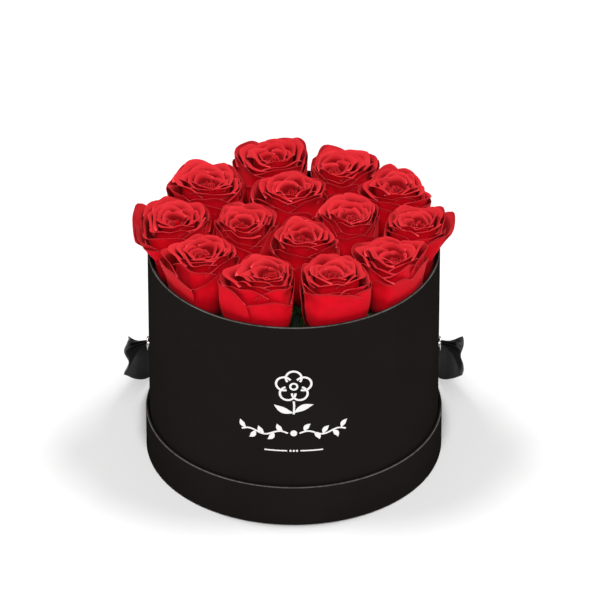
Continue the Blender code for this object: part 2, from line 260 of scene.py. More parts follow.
def satin_material():
    """Black satin: fine cross threads, a soft sheen, and slightly paler woven edges."""
    made, tree, shader = new_material("black_satin", (0.010, 0.010, 0.011), 0.34)
    threads = noise(tree, flat_place(tree), 2600, 2, 0.6)
    selvage = span(tree, maths(tree, "ABSOLUTE", attribute(tree, "across")), 0.0113, 0.0120)
    body = mixed(tree, span(tree, threads, 0.3, 0.7), (0.0056, 0.0056, 0.0059), (0.0092, 0.0092, 0.0097))
    tree.links.new(mixed(tree, selvage, body, (0.012, 0.012, 0.0125)), shader.inputs["Base Color"])
    tree.links.new(span(tree, threads, 0.3, 0.7, 0.26, 0.40), shader.inputs["Roughness"])
    shader.inputs["Specular IOR Level"].default_value = 0.008
    bump(tree, shader, threads, 0.10, 0.0001)
    return made


def print_material():
    """White ink printed on the paper, a little uneven."""
    made, tree, shader = new_material("white_ink", (0.80, 0.79, 0.77), 0.5)
    place = object_place(tree)
    uneven = span(tree, noise(tree, place, 1400, 3, 0.7), 0.3, 0.7)
    tree.links.new(mixed(tree, uneven, (0.70, 0.69, 0.67), (0.86, 0.85, 0.83)), shader.inputs["Base Color"])
    tree.links.new(span(tree, uneven, 0, 1, 0.45, 0.6), shader.inputs["Roughness"])
    return made


def foam_material():
    """Open-celled green floral foam, near black as painted shade for the gap between the blooms, with painted
    shade in its pores.
    """
    made, tree, shader = new_material("floral_foam", (0.020, 0.058, 0.026), 0.95)
    place = object_place(tree)
    cells = node(tree, "ShaderNodeTexVoronoi", {"Vector": place, "Scale": 1500.0}).outputs["Distance"]
    foam_patches = span(tree, noise(tree, place, 60, 4), 0.35, 0.65)
    # Painted shade: the whole colour is near black to stand for the shade between the blooms, varied in
    # patches.
    body = mixed(tree, foam_patches, (0.006, 0.020, 0.008), (0.012, 0.036, 0.015))
    # Painted shade in the pores: darker towards the middle of each cell.
    colour = mixed(tree, span(tree, cells, 0.0, 0.5), (0.003, 0.010, 0.004), body)
    tree.links.new(colour, shader.inputs["Base Color"])
    bump(tree, shader, cells, 0.6, 0.0008)
    return made


def film_material():
    """Dark plastic film with soft creases, painted darker in the creases' hollows as painted shade."""
    made, tree, shader = new_material("liner_film", (0.020, 0.024, 0.021), 0.3)
    place = object_place(tree)
    creases = noise(tree, place, 90, 5, 0.6)
    tree.links.new(span(tree, creases, 0.3, 0.7, 0.2, 0.42), shader.inputs["Roughness"])
    # Painted shade: the colour follows the crease height, darker where the creases sink.
    body = mixed(tree, span(tree, creases, 0.3, 0.7), (0.014, 0.018, 0.015), (0.030, 0.036, 0.031))
    tree.links.new(body, shader.inputs["Base Color"])
    bump(tree, shader, creases, 0.5, 0.002)
    return made


def green_material(name, dark, light, streaks):
    """Living green with streaks along the stem and a reddish tinge in places."""
    made, tree, shader = new_material(name, light, 0.5)
    place = object_place(tree)
    stretch = node(tree, "ShaderNodeVectorMath", {0: place, 1: (1, 1, streaks)}, operation="MULTIPLY")
    grain = noise(tree, stretch.outputs["Vector"], 900, 4)
    body = mixed(tree, span(tree, grain, 0.3, 0.7), dark, light)
    tinge = span(tree, noise(tree, place, 70, 2), 0.55, 0.75, 0.0, 0.5)
    tree.links.new(mixed(tree, tinge, body, (0.12, 0.06, 0.025)), shader.inputs["Base Color"])
    tree.links.new(span(tree, grain, 0.3, 0.7, 0.4, 0.6), shader.inputs["Roughness"])
    bump(tree, shader, grain, 0.25, 0.0003)
    return made


def petal_material():
    """Velvety red petals: painted shade low down, clear red backs, a muted pink painted sheen on the lips, a
    painted highlight on the rim.
    """
    made, tree, shader = new_material("red_petal", (0.60, 0.008, 0.020), 0.75)
    lip = attribute(tree, "lip")
    inside = attribute(tree, "inside")
    tone = attribute(tree, "tone")
    depth = attribute(tree, "depth")
    place = object_place(tree)
    mottle = noise(tree, place, 120, 4)
    veins = noise(tree, flat_place(tree), 5.0, 4, 0.6)
    # The faces are a darker red than the backs: partly their own colour, partly painted shade against the
    # light on their upward side.
    back = mixed(tree, span(tree, mottle, 0.3, 0.7), (0.570, 0.0014, 0.0085), (0.655, 0.0024, 0.0125))
    face = mixed(tree, span(tree, mottle, 0.3, 0.7), (0.400, 0.0010, 0.0055), (0.470, 0.0020, 0.0090))
    body = mixed(tree, inside, back, face)
    # Painted shade: dark red where the depth attribute marks a point as unlit, low on each petal and between
    # the whorls.
    shaded_body = mixed(tree, span(tree, depth, 0.0, 1.0, 0.9, 0.0), body, (0.215, 0.0008, 0.0030))
    # Painted sheen: a muted pink on the lips for velvet in grazing light, kept darker than the backs as
    # painted shade against the top light.
    lip_sheen = mixed(tree, tone, (0.285, 0.0080, 0.0115), (0.345, 0.0135, 0.0180))
    lipped = mixed(tree, span(tree, lip, 0.15, 0.70, 0.0, 0.85), shaded_body, lip_sheen)
    # Painted highlight: a bright red-pink line along each petal's edge.
    rim_highlight = span(tree, lip, 0.84, 1.0, 0.0, 0.70)
    colour = mixed(tree, rim_highlight, lipped, (0.720, 0.050, 0.060))
    tree.links.new(colour, shader.inputs["Base Color"])
    tree.links.new(span(tree, mottle, 0.3, 0.7, 0.68, 0.80), shader.inputs["Roughness"])
    shader.inputs["Specular IOR Level"].default_value = 0.05
    shader.inputs["Sheen Weight"].default_value = 0.03
    shader.inputs["Sheen Roughness"].default_value = 0.5
    shader.inputs["Sheen Tint"].default_value = (1.0, 0.35, 0.35, 1.0)
    shader.inputs["Subsurface Weight"].default_value = 0.10
    shader.inputs["Subsurface Radius"].default_value = (1.0, 0.10, 0.08)
    shader.inputs["Subsurface Scale"].default_value = 0.0025
    bump(tree, shader, maths(tree, "ADD", veins, maths(tree, "MULTIPLY", mottle, 0.5)), 0.30, 0.0006)
    return made


# ---------------------------------------------------------------- meshes
def mesh_object(name, points, faces, finish, sharp=None, attributes=None):
    """A mesh object from points and faces, with a material and a number for each point in each attribute."""
    mesh = bpy.data.meshes.new(name)
    mesh.from_pydata([tuple(point) for point in points], [], faces)
    mesh.materials.append(finish)
    for key, values in (attributes or {}).items():
        layer = mesh.attributes.new(key, "FLOAT", "POINT")
        layer.data.foreach_set("value", np.asarray(values, np.float32))
    mesh.shade_smooth()
    if sharp is not None:
        mesh.set_sharp_from_angle(angle=math.radians(sharp))
    made = bpy.data.objects.new(name, mesh)
    bpy.context.scene.collection.objects.link(made)
    return made


def place_piece(piece, body, slot, *nodes):
    """The piece rides on a body and stands for its CAD nodes, which are hidden. The slot is not used."""
    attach(piece, body)
    if nodes:
        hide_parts(*nodes)
    return piece


def arc(centre, radius, start, end, steps):
    """Points on an arc in (radius, height), angles in degrees."""
    turns = np.radians(np.linspace(start, end, steps))
    return [(centre[0] + radius * math.cos(t), centre[1] + radius * math.sin(t)) for t in turns]


def turned_points(outline, steps):
    """A closed outline of (radius, height) turned round the Z axis. Points on the axis become one."""
    points, rows = [], []
    for radius, height in outline:
        if radius < 1e-6:
            points.append((0.0, 0.0, height))
            rows.append([len(points) - 1] * steps)
            continue
        row = []
        for k in range(steps):
            turn = math.tau * k / steps
            points.append((radius * math.cos(turn), radius * math.sin(turn), height))
            row.append(len(points) - 1)
        rows.append(row)
    return points, rows


def turned_faces(rows, closed):
    """The faces between rows of turned points. A closed outline joins its last row to its first."""
    faces = []
    for low, high in zip(rows, rows[1:] + (rows[:1] if closed else [])):
        for k in range(len(low)):
            j = (k + 1) % len(low)
            face = list(dict.fromkeys((low[k], low[j], high[j], high[k])))
            if len(face) > 2:
                faces.append(face)
    return faces


def turned(name, outline, finish, steps, closed=True, sharp=50, edges=None):
    """A turned piece. Its outline runs anticlockwise in (radius, height)."""
    points, rows = turned_points(outline, steps)
    attributes = {}
    if edges is not None:
        attributes["edge"] = [edges(math.hypot(x, y), z) for x, y, z in points]
    return mesh_object(name, points, turned_faces(rows, closed), finish, sharp, attributes)


def shell(grid, thickness):
    """The points and faces of a thin solid round a grid of points: one side's points, then the other's."""
    across = np.gradient(grid, axis=0)
    along = np.gradient(grid, axis=1)
    normal = np.cross(across, along)
    normal /= np.maximum(np.linalg.norm(normal, axis=2, keepdims=True), 1e-12)
    count, length = grid.shape[:2]
    half = np.broadcast_to(thickness, (count, length))[..., None] / 2
    points = np.concatenate([(grid + normal * half).reshape(-1, 3), (grid - normal * half).reshape(-1, 3)])
    size = count * length
    index = np.arange(size).reshape(count, length)
    a, b, c, d = index[:-1, :-1], index[1:, :-1], index[1:, 1:], index[:-1, 1:]
    top = np.stack([a, b, c, d], -1).reshape(-1, 4)
    loop = np.concatenate([index[:-1, 0], index[-1, :-1], index[:0:-1, -1], index[0, :0:-1]])
    ahead = np.roll(loop, -1)
    side = np.stack([ahead, loop, loop + size, ahead + size], -1)
    faces = np.concatenate([top, top[:, ::-1] + size, side])
    return points, faces


def gathered(parts):
    """Shells joined into one set of points, faces and attributes."""
    points, faces, attributes, offset = [], [], {}, 0
    for part_points, part_faces, part_attributes in parts:
        points.append(part_points)
        faces.append(part_faces + offset)
        for key, values in part_attributes.items():
            attributes.setdefault(key, []).append(values)
        offset += len(part_points)
    joined = {key: np.concatenate(values) for key, values in attributes.items()}
    return np.concatenate(points), np.concatenate(faces).tolist(), joined


def smooth(value):
    """A soft step from 0 to 1."""
    value = np.clip(value, 0.0, 1.0)
    return value * value * (3 - 2 * value)


# ---------------------------------------------------------------- box, lid and eyelets
def middle_height(name):
    """The height of the middle of a CAD node."""
    low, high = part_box(name)
    return (low.z + high.z) / 2


def near_edge(outer, top):
    """Where the painted edge highlight lies: fully on the outer turn of the upper edge, else not at all."""
    near = EDGE_HIGHLIGHT_SHARE * EDGE_ROUND

    def edge_highlight(radius, height):
        return float(abs(radius - outer) < near and abs(height - top) < near)

    return edge_highlight


def rounded_rim(outer, inner, top):
    """The upper edge of a board tube in (radius, height), from the outside to the inside."""
    r = EDGE_ROUND
    return [
        (outer, top - 2 * r),
        *arc((outer - r, top - r), r, 0, 90, 8),
        *arc((inner + r, top - r), r, 90, 180, 8),
        (inner, top - 2 * r),
    ]


def box_wall():
    """The box's wall, with two holes bored for the eyelets."""
    low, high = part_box("box_wall")
    outer, inner = high.x, high.x - BOARD
    r = EDGE_ROUND
    hole = middle_height("washer_right")
    outline = [
        *arc((outer - r, low.z + r), r, -90, 0, 5),
        (outer, hole - HOLE_MARGIN),
        (outer, hole + HOLE_MARGIN),
        *rounded_rim(outer, inner, high.z),
        (inner, hole + HOLE_MARGIN),
        (inner, hole - HOLE_MARGIN),
        *arc((inner + r, low.z + r), r, 180, 270, 5),
    ]
    edges = near_edge(outer, high.z)
    wall = turned("box_wall_board", outline, BOARD_FINISH, TURN_STEPS, edges=edges)
    bpy.ops.mesh.primitive_cylinder_add(vertices=32, radius=HOLE_RADIUS, depth=3 * outer)
    cutter = bpy.context.object
    cutter.rotation_euler = (0, math.pi / 2, 0)
    cutter.location = (0, 0, hole)
    bored = wall.modifiers.new("Eyelet holes", "BOOLEAN")
    bored.operation = "DIFFERENCE"
    bored.object = cutter
    bpy.context.view_layer.update()
    graph = bpy.context.evaluated_depsgraph_get()
    mesh = bpy.data.meshes.new_from_object(wall.evaluated_get(graph), depsgraph=graph)
    mesh.set_sharp_from_angle(angle=math.radians(40))
    wall.modifiers.clear()
    wall.data = mesh
    bpy.data.objects.remove(cutter)
    place_piece(wall, "box", "wrapped_board", "box_wall")


def lid():
    """The upturned lid: one hoop and panel under one wrapped skin."""
    low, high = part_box("lid_hoop")
    outer, inner = high.x, high.x - BOARD
    r = EDGE_ROUND
    outline = [
        (0.0, 0.0),
        *arc((outer - r, low.z + r), r, -90, 0, 6),
        *rounded_rim(outer, inner, high.z),
        (inner, BOARD),
        (0.0, BOARD),
    ]
    edges = near_edge(outer, high.z)
    made = turned("lid_board", outline, BOARD_FINISH, TURN_STEPS, closed=False, edges=edges)
    place_piece(made, "lid", "wrapped_board", "lid_hoop", "lid_panel")


def eyelets():
    """A rolled flange outside, a barrel through the wall, and a rolled end over the washer inside."""
    low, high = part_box("eyelet_right")
    flange = (high.z - low.z) / 2
    out, into = high.x - WALL_RADIUS, low.x - WALL_RADIUS
    seat = 0.30 * MM
    roll = (out - seat) / 2 + 0.12 * MM
    mouth = 1.0 * MM
    inner_roll = 0.45 * MM
    curl, curl_edge = BARREL + 0.9 * MM, BARREL + 1.2 * MM
    curl_middle, curl_top = into + 0.35 * MM, into + 0.7 * MM
    outline = [
        (BARREL, seat),
        (flange - roll, seat),
        *arc((flange - roll, seat + roll), roll, -90, 90, 9),
        *arc((BORE + mouth, seat + roll), mouth, 100, 180, 7),
        (BORE, into + inner_roll),
        *arc((BORE + inner_roll, into + inner_roll), inner_roll, 180, 270, 5),
        (curl, into),
        (curl_edge, curl_middle),
        (curl, curl_top),
        (BARREL, curl_top),
    ]
    for side, direction in (("right", 1), ("left", -1)):
        made = turned(f"eyelet_{side}_metal", outline, METAL_FINISH, 40, sharp=60)
        made.rotation_euler = (0, direction * math.pi / 2, 0)
        made.location = (direction * WALL_RADIUS, 0, middle_height("eyelet_right"))
        place_piece(made, "box", "eyelet_metal", f"eyelet_{side}")


# ---------------------------------------------------------------- ribbon handle
def handle_route():
    """The loop's route, from inside the right eyelet, round the back, to inside the left one."""
    inside = WALL_RADIUS - BOARD
    axis = middle_height("eyelet_right")
    side = WALL_RADIUS + 16 * MM
    back = WALL_RADIUS + 46 * MM
    drop = axis - RIBBON_WIDTH / 2 - TABLE_GAP
    gathered_part = [(inside - 5 * MM, 0, 0), (inside, 0, 0), (WALL_RADIUS + 3 * MM, 0, 0)]
    # How far inside the side in millimetres, and the shares of the way back and of the way down to the table.
    fanned = [
        (8, 0.006, 0.03),
        (2.5, 0.034, 0.12),
        (0, 0.09, 0.28),
        (0, 0.18, 0.43),
        (1.5, 0.27, 0.58),
        (5, 0.36, 0.73),
        (10, 0.45, 0.87),
        (14.5, 0.54, 0.96),
        (16.5, 0.63, 0.99),
        (17.5, 0.70, 1),
        (23.5, 0.765, 1),
        (36, 0.84, 1),
        (56, 0.91, 1),
        (84, 0.97, 1),
    ]
    leg = [(side - inwards * MM, back * along, -drop * down) for inwards, along, down in fanned]
    right = np.array([*gathered_part, *leg, (0, back, -drop)])
    left = right[-2::-1] * (-1, 1, 1)
    return np.concatenate([right, left]) + (0, 0, axis)


def spline(points, steps):
    """Evenly spaced points on a smooth curve through all the given ones."""
    ends = np.concatenate([points[:1], points, points[-1:]])
    cuts = 16
    found = []
    for a, b, c, d in zip(ends, ends[1:], ends[2:], ends[3:]):
        for t in np.arange(cuts) / cuts:
            bend = (2 * a - 5 * b + 4 * c - d) * t**2 + (3 * b - a - 3 * c + d) * t**3
            found.append((2 * b + (c - a) * t + bend) / 2)
    found = np.array([*found, points[-1]])
    lengths = np.concatenate([[0], np.cumsum(np.linalg.norm(np.diff(found, axis=0), axis=1))])
    even = np.linspace(0, lengths[-1], steps)
    return np.stack([np.interp(even, lengths, found[:, k]) for k in range(3)], 1), even


def ribbon_ways(along, lean):
    """The ribbon's width and face directions where it runs along one way and leans back by an angle."""
    width_way = np.array([0, math.sin(lean), math.cos(lean)])
    width_way -= along * width_way.dot(along)
    width_way /= np.linalg.norm(width_way)
    return width_way, np.cross(along, width_way)


def ribbon_handle():
    """A satin strip gathered into pleats in each eyelet and fanned out to its full width outside it."""
    across_steps, along_steps = RIBBON_STEPS
    line, lengths = spline(handle_route(), along_steps)
    draw = np.random.RandomState(5)
    across = np.linspace(-0.5, 0.5, across_steps)
    grid = np.zeros((across_steps, along_steps, 3))
    total = lengths[-1]
    phase = draw.uniform(0, math.tau, 8)
    for i, point in enumerate(line):
        along = line[min(i + 1, along_steps - 1)] - line[max(i - 1, 0)]
        along /= np.linalg.norm(along)
        end = min(lengths[i], total - lengths[i])
        limp = smooth((end - GATHERED_LENGTH) / FAN_LENGTH)
        lean = math.radians(LEAN) * float(smooth(abs(lengths[i] / total - 0.5) / 0.175))
        width_way, face_way = ribbon_ways(along, lean)
        share = GATHERED_SHARE + (1 - GATHERED_SHARE) * limp
        depth = RIBBON_WIDTH / (4 * PLEATS) * math.sqrt(max(0.0, 1 - share * share))
        pleats = np.cos(math.tau * PLEATS * across + 0.6) * depth
        s = lengths[i] / MM
        wander = limp * (0.45 * math.sin(s / 21 + phase[0]) + 0.25 * math.sin(s / 9 + phase[1])) * MM
        cupping = limp * 0.8 * math.sin(s / 33 + phase[2]) * MM * (4 * across**2 - 0.4)
        folded = limp * math.exp(-(((end - FOLD_PLACE) / FOLD_LENGTH) ** 2)) * FOLD_DEPTH
        folds = folded * np.cos(math.tau * 1.5 * across + s / 13)
        offset = pleats + wander + cupping + folds
        grid[:, i] = point + np.outer(across * RIBBON_WIDTH * share, width_way) + np.outer(offset, face_way)
    points, faces = shell(grid, RIBBON_THICK)
    lay = {
        "across": np.tile(np.repeat(across * RIBBON_WIDTH, along_steps), 2),
        "along": np.tile(lengths, 2 * across_steps),
    }
    ribbon = mesh_object("ribbon_strip", points, faces.tolist(), SATIN_FINISH, sharp=58, attributes=lay)
    place_piece(ribbon, "handle", "satin_ribbon", "ribbon_handle")
    knots = [ribbon_knot("right", 1), ribbon_knot("left", -1)]


def ribbon_knot(side, direction):
    """An overhand knot: a creased cord of ribbon wound into a closed trefoil."""
    low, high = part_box(f"ribbon_knot_{side}")
    middle = (low + high) / 2
    count, sides = 96, 14
    half_wide, half_thick = 1.9 * MM, 1.5 * MM
    turn = np.linspace(0, math.tau, count, endpoint=False)
    reach = (high.z - low.z) / 2 - half_wide - 0.2 * MM
    path = np.stack(
        [
            1.6 * MM * np.sin(3 * turn) * direction,
            reach * (np.sin(turn) + 0.55 * np.sin(2 * turn)) / 1.35,
            reach * (np.cos(turn) - 0.55 * np.cos(2 * turn)) / 1.35,
        ],
        1,
    )
    ahead = np.roll(path, -1, 0) - np.roll(path, 1, 0)
    ahead /= np.linalg.norm(ahead, axis=1, keepdims=True)
    first = np.cross(ahead, (1.0, 0.2, 0.1))
    first /= np.linalg.norm(first, axis=1, keepdims=True)
    second = np.cross(ahead, first)
    ring = np.linspace(0, math.tau, sides, endpoint=False)
    crease = 1 + 0.16 * np.cos(4 * ring)
    points = (
        path[:, None]
        + half_wide * (crease * np.cos(ring))[None, :, None] * first[:, None]
        + half_thick * (crease * np.sin(ring))[None, :, None] * second[:, None]
    ).reshape(-1, 3) + np.array(middle)
    points[:, 2] = np.clip(points[:, 2], low.z, high.z)
    index = np.arange(count * sides).reshape(count, sides)
    right, up = np.roll(index, -1, 1), np.roll(index, -1, 0)
    corner = np.roll(up, -1, 1)
    faces = np.stack([index, right, corner, up], -1).reshape(-1, 4)
    lay = {
        "across": np.tile(ring * 2 * MM, count),
        "along": np.repeat(turn * 6 * MM, sides),
    }
    knot = mesh_object(f"ribbon_knot_{side}_satin", points, faces.tolist(), SATIN_FINISH, attributes=lay)
    return place_piece(knot, "handle", "satin_ribbon", f"ribbon_knot_{side}")


# ---------------------------------------------------------------- printed emblem
def stroke(points, width):
    """A thin printed line through points on the flat, (along the surface, height), in millimetres."""
    points = np.array(points, float)
    ahead = np.gradient(points, axis=0)
    ahead /= np.maximum(np.linalg.norm(ahead, axis=1, keepdims=True), 1e-9)
    normal = np.stack([-ahead[:, 1], ahead[:, 0]], 1)
    half = np.broadcast_to(np.asarray(width, float) / 2, (len(points),))[:, None]
    return np.stack([points + normal * half, points - normal * half])


def leaf(root, tip, bulge):
    """A filled leaf between two points, as a strip whose width swells in the middle."""
    share = np.linspace(0, 1, 15)
    root, tip = np.array(root, float), np.array(tip, float)
    way = tip - root
    normal = np.array([-way[1], way[0]]) / np.linalg.norm(way)
    middle = root + np.outer(share, way) + np.outer(np.sin(math.pi * share) * bulge * 0.25, normal)
    return stroke(middle, 0.12 + bulge * np.sin(math.pi * share) ** 1.2)


def circle_points(centre, radius, start=0, end=360, steps=25):
    """Points on a circle or on a part of it, angles in degrees."""
    turns = np.radians(np.linspace(start, end, steps))
    return np.stack([centre[0] + radius * np.cos(turns), centre[1] + radius * np.sin(turns)], 1)


def vine_points(side, share):
    """Points at a share of the way along one half of the leafy rule, in millimetres."""
    return np.stack([side * (4.0 + 32.0 * share), VINE_HEIGHT + 1.6 * np.sin(share * math.tau * 1.5)], -1)


def emblem_strips():
    """A generic blossom over two leaves, a leafy rule under it, and a short rule with dots. Millimetres."""
    strips = []
    heart = (0.0, 112.5)
    for k in range(5):
        turn = 90 + 72 * k
        centre = circle_points(heart, 7.0, turn, turn, 1)[0]
        strips.append(stroke(circle_points(centre, 5.3, turn - 128, turn + 128, 29), 1.5))
    strips.append(stroke(circle_points(heart, 2.4), 1.4))
    strips.append(stroke([(0, 100.5), (0.3, 97), (0.2, 93.5), (0, 90.0)], 1.4))
    for side in (-1, 1):
        strips.append(leaf((0, 91.0), (side * 13.5, 97.5), 4.6))
    for side in (-1, 1):
        strips.append(stroke(vine_points(side, np.linspace(0, 1, 40)), 1.2))
        for n in range(5):
            at = vine_points(side, (n + 0.5) / 5)
            up = 1 if n % 2 == 0 else -1
            strips.append(leaf(at, (at[0] + side * 4.2, at[1] + up * 6.2), 3.5))
    strips.append(stroke(circle_points((0, VINE_HEIGHT), 1.25, steps=17), 2.2))
    for side in (-1, 1):
        strips.append(stroke([(side * x, RULE_HEIGHT) for x in np.linspace(4.5, 20, 16)], 1.0))
    for x in (-2.2, 0.0, 2.2):
        strips.append(stroke(circle_points((x, RULE_HEIGHT), 0.42, steps=13), 0.8))
    return strips


def printed_emblem():
    """The strips laid on the front of the box as a film of ink."""
    radius = WALL_RADIUS + INK_LIFT
    parts = []
    for strip in emblem_strips():
        along, height = strip[..., 0] * MM, strip[..., 1] * MM
        turn = along / radius
        grid = np.stack([radius * np.sin(turn), -radius * np.cos(turn), height], -1)
        parts.append((*shell(grid, INK_THICK), {}))
    points, faces, _ = gathered(parts)
    ink = mesh_object("front_emblem_print", points, faces, PRINT_FINISH, sharp=40)
    place_piece(ink, "box", "wrapped_board")


# ---------------------------------------------------------------- roses
def convex_outline(points):
    """The corners of the smallest convex outline round points in plan, anticlockwise."""
    ordered = sorted(set(map(tuple, np.round(points, 6))))

    def half(sequence):
        kept = []
        for point in sequence:
            while len(kept) > 1:
                a, b = np.subtract(kept[-1], kept[-2]), np.subtract(point, kept[-2])
                if a[0] * b[1] - a[1] * b[0] > 0:
                    break
                kept.pop()
            kept.append(point)
        return kept

    return np.array(half(ordered)[:-1] + half(ordered[::-1])[:-1])


class Room:
    """The space a bloom has: its neighbours on some sides, and the box wall on the outer ones."""

    def __init__(self, number):
        self.number = number
        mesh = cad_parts[f"rose_{number:02d}_bloom"].data
        points = np.array([vertex.co for vertex in mesh.vertices])
        self.base, self.top = points[:, 2].min(), points[:, 2].max()
        share = (points[:, 2] - self.base) / (self.top - self.base)
        corners = convex_outline(points[(share > 0.45) & (share < 0.95)][:, :2])
        ends = np.roll(corners, -1, 0)
        edges = ends - corners
        self.centre = corners.mean(0)
        normals = np.stack([edges[:, 1], -edges[:, 0]], 1) / np.linalg.norm(edges, axis=1, keepdims=True)
        self.wall = WALL_RADIUS - BOARD
        middles = (corners + ends) / 2
        inner = np.linalg.norm(middles, axis=1) < self.wall - WALL_NEAR
        self.normals = normals[inner]
        self.offsets = (middles[inner] * normals[inner]).sum(1) - normals[inner] @ self.centre

    def reach(self, turn, height, overhang):
        """The distance from the bloom's middle to the edge of its room, at this turn and height."""
        least_towards, unlimited = 0.05, 1.0
        way = np.stack([np.cos(turn), np.sin(turn)], -1)
        towards = way @ self.normals.T
        limit = (self.offsets + NEIGHBOUR_SPARE) / np.maximum(towards, least_towards)
        distance = np.where(towards > least_towards, limit, unlimited)
        wall = self.wall - WALL_SPARE + overhang * smooth((height - RIM_HEIGHT) / OVERHANG_RISE)
        across = way @ self.centre
        out = -across + np.sqrt(np.maximum(across**2 + wall**2 - self.centre @ self.centre, 0))
        limits = np.concatenate([distance, out[..., None]], -1)
        return (limits**-CORNER_SHARPNESS).sum(-1) ** (-1 / CORNER_SHARPNESS)


def petal_attributes(u, v, lit, draw):
    """What the petal material reads at each point: the back's points, then the face's."""
    shape = (u.size, v.size)
    side_edge = smooth((np.abs(u) - 0.88) / 0.12) * smooth((v - 0.72) / 0.2)

    def spread(values):
        return np.broadcast_to(values, shape).ravel()

    def lip(low):
        """How far up the lip each point is: it starts at this share of the height, and at the side edges."""
        return spread(np.maximum(np.clip((v - low) / (1 - low), 0, 1) * (0.8 + 0.2 * u**2), side_edge))

    def shade(dark, light):
        """How lit each point is: nothing below the first share of the height, fully above the second."""
        return spread(np.clip((v - dark) / (light - dark), 0, 1))

    seed = draw.uniform(0, 50)
    return {
        "lip": np.concatenate([lip(0.84), lip(0.45)]),
        "across": np.tile(spread(u) * 2.2 + seed, 2),
        "along": np.tile(spread(v) * 0.8 + seed, 2),
        # depth holds how lit each point is, for the petals' painted shade.
        "depth": np.concatenate([shade(*lit), shade(0.62, 0.95)]),
        "tone": np.full(2 * u.size * v.size, draw.uniform(0, 1)),
        "inside": np.repeat([0.0, 1.0], u.size * v.size),
    }


def petal(
    room, draw, turn, radius, height, half_angle, lip, curl, steps, drop, tuck, point, ripple,
    corners=5.0, angular=0.45, overhang=3.0 * MM, inset=0.0, lit=(0.58, 0.85), start=0.0, edge_curl=0.25,
):
    """One petal as a closed thin shell: a cup that rises from the base, and a lip that rolls outwards."""
    # u runs across the petal from side to side, and v up it from the base to the tip.
    u = np.linspace(-1, 1, steps[0])[:, None]
    v = np.linspace(start, 1, steps[1])[None, :]
    cup = np.clip(v / (1 - LIP_SHARE), 0, 1)
    roll = np.clip((v - 1 + LIP_SHARE) / LIP_SHARE, 0, 1)
    bend = curl * (1 + edge_curl * u**2)
    length = lip * (1 - 0.30 * np.abs(u) ** 3)
    coil = length / np.maximum(np.abs(bend), 0.05) * np.sign(bend)

    # The turn about the bloom's middle, with slightly flat sides between soft corners.
    opening = 0.45 + 0.55 * np.sin(math.pi / 2 * np.clip(cup * 1.3, 0, 1))
    angle = half_angle * u * opening * (1 - 0.06 * roll)
    bent = np.sqrt(angle**2 + 0.05**2)
    facet = math.cos(math.pi / corners) / np.cos(np.minimum(bent - math.pi / corners, 1.0))

    # The distance from the middle and the height above the base: cup, lip, side drop, tip, tuck and ripples.
    distance = PETAL_BASE + (radius - PETAL_BASE) * (1 - (1 - cup) ** 3.6) + 0 * u
    distance = distance * (1 + angular * (facet - 1) * cup**2)
    distance = distance + coil * (1 - np.cos(bend * roll))
    rise = height * cup**1.05 + 0 * u
    rise = rise + np.abs(coil) * np.sin(np.abs(bend) * roll)
    rise = rise - drop * np.abs(u) ** 2.4 * cup**2
    distance = distance + point * np.exp(-((u / 0.16) ** 2)) * roll
    distance = distance + tuck * u * cup
    phase = draw.uniform(0, math.tau, 4)
    rise = rise + ripple * np.sin(3.3 * u + phase[0]) * cup**3
    rise = rise + 0.6 * ripple * np.sin(7.0 * u + phase[1]) * roll
    distance = distance + ripple * np.sin(4.1 * u + phase[2]) * cup**3
    distance = distance + 0.7 * ripple * np.sin(8.5 * u + phase[3]) * roll

    # The room: distances scale with its reach, and ease to a stop short of its edge.
    way = turn + angle
    level = room.base + rise
    reach = room.reach(way, level, overhang) * (0.82 + 0.18 * smooth(cup / 0.95))
    distance = distance * (1 + (reach / NOMINAL_REACH - 1) * smooth(distance / NOMINAL_REACH))
    limit = reach - inset - SIDE_STEP * (1 - u)
    free = limit - SOFT_STOP
    distance = np.where(distance > free, limit - SOFT_STOP * np.exp((free - distance) / SOFT_STOP), distance)

    # Places in plan, with the bloom's heart set off to one side.
    shift = HEART_SHIFT.get(room.number, (0, 0))
    settle = 1 - smooth(distance / (0.85 * NOMINAL_REACH))
    x = room.centre[0] + distance * np.cos(way) + shift[0] * MM * settle
    y = room.centre[1] + distance * np.sin(way) + shift[1] * MM * settle
    points, faces = shell(np.stack([x, y, level], -1), PETAL_THICK * (1 - 0.35 * roll))
    return points, faces, petal_attributes(u, v, lit, draw)


def heart_petals(room, draw, turn, lift):
    """The ragged small petals in the middle of a bloom, and the turn at which they end."""
    parts = []
    for k in range(12):
        turn += GOLDEN_TURN + draw.uniform(-0.15, 0.15)
        made = petal(
            room,
            draw,
            turn=turn,
            radius=(1.0 + 0.48 * k) * MM,
            height=(48.5 - 0.25 * k) * MM + lift + draw.uniform(-1.6, 1.4) * MM,
            half_angle=math.radians(min(62, 110 - 5 * k)),
            lip=2.6 * MM,
            curl=math.radians(draw.uniform(-15, 55)),
            steps=(7, 7),
            drop=draw.uniform(1.5, 4.0) * MM,
            tuck=0.5 * MM,
            point=draw.uniform(0.2, 0.9) * MM,
            ripple=0.45 * MM,
            angular=0.0,
            start=0.5,
        )
        parts.append(made)
    return parts, turn


